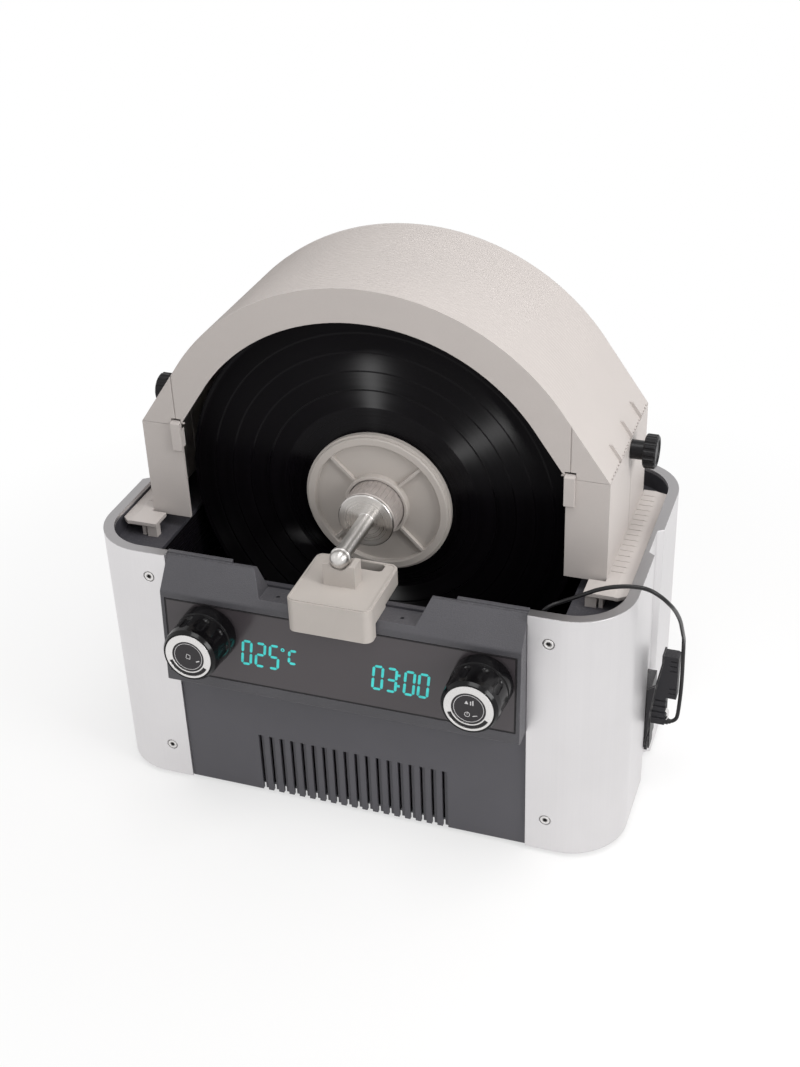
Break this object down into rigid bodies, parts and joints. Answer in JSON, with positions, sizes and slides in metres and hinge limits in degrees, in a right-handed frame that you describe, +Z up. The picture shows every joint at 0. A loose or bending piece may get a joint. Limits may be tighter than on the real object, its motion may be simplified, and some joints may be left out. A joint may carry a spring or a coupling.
{
  "type": "record cleaning machine",
  "caption": "Ultrasonic bath with twin control knobs, a motor-driven spindle of vinyl records dipping in the bath, and an arched lift-off cover.",
  "frame": {"origin": "middle of the footprint, on the surface that the feet stand on", "axes": "+Z up, -Y towards the control front, +X to the side with the sensor box"},
  "size_m": [0.4354, 0.2874, 0.408],
  "materials": {
    "shell": "bead-blasted, satin clear anodised",
    "panel": "fine matt powder coat",
    "plate": "plain grey coat",
    "foot": "soft matt rubber",
    "screw": "plated socket screws",
    "deck": "satin grey coat",
    "tank": "deep drawn stainless steel, dark in shadow",
    "transducer": "turned",
    "circuit": "green circuit board",
    "fascia": "fine textured moulding",
    "window": "dark smoked acrylic",
    "encoder": "stamped",
    "knob": "polished black",
    "ring": "diamond turned",
    "cap": "black with printed lines",
    "socket": "moulded nylon",
    "housing": "fine textured moulding",
    "motor": "plated",
    "steel": "ground stainless steel",
    "vinyl": "grooved vinyl",
    "ivory": "warm off-white moulding",
    "collar": "knurled",
    "cover": "warm off-white moulding",
    "bracket": "matt black",
    "sensor": "matt dark grey",
    "lead": "smooth black jacket"
  },
  "bodies": {
    "machine": {"left_shell": "shell", "right_shell": "shell", "front_panel": "panel", "rear_panel": "panel", "base_plate": "plate", "foot_1": "foot", "foot_2": "foot", "foot_3": "foot", "foot_4": "foot", "foot_5": "foot", "shell_screws": "screw", "deck": "deck", "tank": "tank", "transducer_1": "transducer", "transducer_2": "transducer", "transducer_3": "transducer", "generator_board": "circuit", "control_fascia": "fascia", "display_window": "window", "left_encoder": "encoder", "right_encoder": "encoder", "power_inlet": "socket", "drive_housing": "housing", "drive_motor": "motor", "spindle_rest": "ivory", "left_leg": "cover", "right_leg": "cover", "left_tray": "cover", "right_tray": "cover", "rear_screen": "cover", "side_bracket": "bracket", "side_connector": "sensor", "lead": "lead", "lead_probe": "bracket"},
    "spindle": {"spindle": "steel", "record_1": "vinyl", "record_2": "vinyl", "record_3": "vinyl", "record_4": "vinyl", "spacer_1": "ivory", "spacer_2": "ivory", "spacer_3": "ivory", "front_protector": "ivory", "rear_protector": "ivory"},
    "clamp_collar": {"clamp_collar": "collar"},
    "clamp_rod": {"clamp_rod": "steel"},
    "left_shaft": {"left_shaft": "encoder"},
    "left_knob": {"left_knob": "knob", "left_ring": "ring", "left_cap": "cap"},
    "right_shaft": {"right_shaft": "encoder"},
    "right_knob": {"right_knob": "knob", "right_ring": "ring", "right_cap": "cap"},
    "hood": {"cover_hood": "cover"},
    "left_clip": {"left_clip": "cover"},
    "right_clip": {"right_clip": "cover"},
    "left_thumb_knob": {"left_thumb_knob": "knob"},
    "right_thumb_knob": {"right_thumb_knob": "knob"},
    "power_rocker": {"power_rocker": "socket"}
  },
  "joints": [
    {"name": "spindle_turn", "type": "hinge", "parent": "machine", "child": "spindle", "pos_m": [0, 0, 0.231], "axis": [0, 1, 0], "continuous": true},
    {"name": "collar_slide", "type": "slide", "parent": "spindle", "child": "clamp_collar", "axis": [0, -1, 0], "range_m": [0, 0.002]},
    {"name": "clamp_turn", "type": "hinge", "parent": "clamp_collar", "child": "clamp_rod", "pos_m": [0, -0.08, 0.231], "axis": [0, -1, 0], "range_deg": [0, 720]},
    {"name": "hood_lift", "type": "slide", "parent": "machine", "child": "hood", "axis": [0, 0, 1], "range_m": [0, 0.12]},
    {"name": "left_clip_swing", "type": "hinge", "parent": "hood", "child": "left_clip", "pos_m": [-0.1489, -0.0518, 0.287], "axis": [-1, 0, 0], "range_deg": [0, 25]},
    {"name": "right_clip_swing", "type": "hinge", "parent": "hood", "child": "right_clip", "pos_m": [0.1489, -0.0518, 0.287], "axis": [-1, 0, 0], "range_deg": [0, 25]},
    {"name": "left_thumb_turn", "type": "hinge", "parent": "machine", "child": "left_thumb_knob", "pos_m": [-0.187, 0.0155, 0.277], "axis": [-1, 0, 0], "continuous": true},
    {"name": "right_thumb_turn", "type": "hinge", "parent": "machine", "child": "right_thumb_knob", "pos_m": [0.187, 0.0155, 0.277], "axis": [1, 0, 0], "continuous": true},
    {"name": "left_knob_push", "type": "slide", "parent": "machine", "child": "left_shaft", "axis": [0, 0.9983, -0.0576], "range_m": [0, 0.001], "stiffness_N_per_m": 1500},
    {"name": "left_knob_turn", "type": "hinge", "parent": "left_shaft", "child": "left_knob", "pos_m": [-0.098, -0.13106, 0.16277], "axis": [0, -0.9983, 0.0576], "continuous": true},
    {"name": "right_knob_push", "type": "slide", "parent": "machine", "child": "right_shaft", "axis": [0, 0.9983, -0.0576], "range_m": [0, 0.001], "stiffness_N_per_m": 1500},
    {"name": "right_knob_turn", "type": "hinge", "parent": "right_shaft", "child": "right_knob", "pos_m": [0.11, -0.13106, 0.16277], "axis": [0, -0.9983, 0.0576], "continuous": true},
    {"name": "rocker_tilt", "type": "hinge", "parent": "machine", "child": "power_rocker", "pos_m": [-0.076, 0.113, 0.048], "axis": [1, 0, 0], "range_deg": [-8, 8]}
  ],
  "couplings": [
    {"joint": "clamp_turn", "follows": "collar_slide", "rad_per_m": 6283.2}
  ]
}
